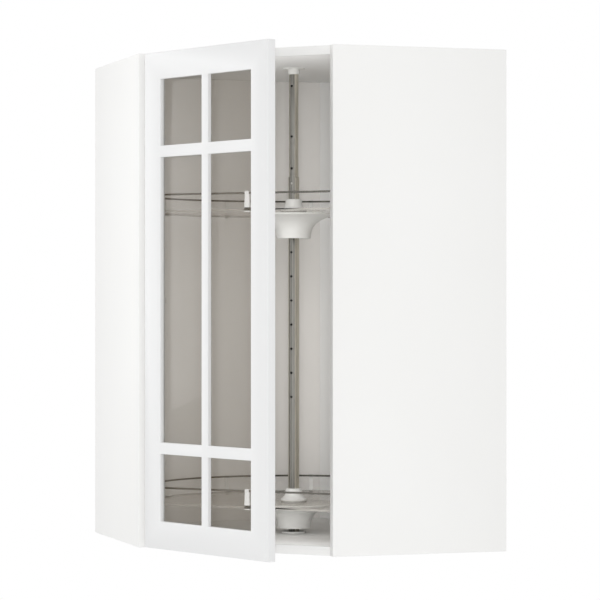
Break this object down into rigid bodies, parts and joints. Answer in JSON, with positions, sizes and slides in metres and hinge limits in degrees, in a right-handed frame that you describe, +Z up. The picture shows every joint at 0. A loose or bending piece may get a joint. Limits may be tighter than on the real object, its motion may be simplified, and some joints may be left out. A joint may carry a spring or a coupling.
{
  "type": "corner wall cabinet with carousel",
  "caption": "White corner wall cabinet with a diagonal divided-glass door, open ajar, and turning trays on a central post.",
  "frame": {"origin": "on the carousel's axis, at the underside of the bottom panel", "axes": "+Z up; the room's two walls are the planes X = -0.334 and Y = -0.334; the diagonal front faces +X+Y"},
  "size_m": [0.675, 0.7489, 1],
  "materials": {
    "board": "matt white foil on board",
    "door_paint": "smooth white paint, silky",
    "glass": "clear, smooth",
    "chrome": "bright",
    "hinge_steel": "nickel-plated, satin",
    "shelf": "glossy",
    "white_plastic": "smooth, silky"
  },
  "bodies": {
    "carcass": {"side_panel_left": "board", "side_panel_right": "board", "bottom_panel": "board", "top_panel": "board", "back_panel_left": "board", "back_panel_right": "board", "rear_corner_panel": "board", "post_lower_tube": "chrome", "post_upper_tube": "chrome", "post_lock_screw": "hinge_steel", "base_socket": "white_plastic", "top_socket": "white_plastic", "lower_support_collar": "white_plastic", "upper_support_collar": "white_plastic", "hinge_arm_1": "hinge_steel", "hinge_arm_2": "hinge_steel", "hinge_arm_3": "hinge_steel", "hinge_plate_1": "hinge_steel", "hinge_plate_2": "hinge_steel", "hinge_plate_3": "hinge_steel"},
    "hinge_links": {"hinge_link_1": "hinge_steel", "hinge_link_2": "hinge_steel", "hinge_link_3": "hinge_steel"},
    "door": {"door_stile_hinge": "door_paint", "door_stile_free": "door_paint", "door_rail_bottom": "door_paint", "door_rail_top": "door_paint", "glass_pane": "glass", "crossbar_lower": "door_paint", "crossbar_upper": "door_paint", "bar_bottom": "door_paint", "bar_middle": "door_paint", "bar_top": "door_paint", "hinge_cup_1": "hinge_steel", "hinge_cup_2": "hinge_steel", "hinge_cup_3": "hinge_steel"},
    "lower_tray": {"lower_shelf": "shelf", "lower_hub": "white_plastic", "lower_hub_cap": "white_plastic", "lower_rail": "chrome", "lower_grip": "white_plastic", "lower_clip_1": "white_plastic", "lower_clip_2": "white_plastic", "lower_clip_3": "white_plastic", "lower_clip_4": "white_plastic", "lower_clip_5": "white_plastic", "lower_clip_6": "white_plastic"},
    "upper_tray": {"upper_shelf": "shelf", "upper_hub": "white_plastic", "upper_hub_cap": "white_plastic", "upper_rail": "chrome", "upper_grip": "white_plastic", "upper_clip_1": "white_plastic", "upper_clip_2": "white_plastic", "upper_clip_3": "white_plastic", "upper_clip_4": "white_plastic", "upper_clip_5": "white_plastic", "upper_clip_6": "white_plastic"}
  },
  "joints": [
    {"name": "link_turn", "type": "hinge", "parent": "carcass", "child": "hinge_links", "pos_m": [0.2871, 0.03424, 0.5], "axis": [0, 0, -1], "range_deg": [-1.91, 5.7]},
    {"name": "door_turn", "type": "hinge", "parent": "hinge_links", "child": "door", "pos_m": [0.31935, 0.04881, 0.5], "axis": [0, 0, -1], "range_deg": [-21.9, 65.5]},
    {"name": "lower_tray_turn", "type": "hinge", "parent": "carcass", "child": "lower_tray", "pos_m": [0, 0, 0.0805], "axis": [0, 0, 1], "range_deg": [-360, 360]},
    {"name": "upper_tray_turn", "type": "hinge", "parent": "carcass", "child": "upper_tray", "pos_m": [0, 0, 0.6805], "axis": [0, 0, 1], "range_deg": [-360, 360]}
  ],
  "couplings": [
    {"joint": "link_turn", "follows": "door_turn", "ratio": 0.086957}
  ]
}
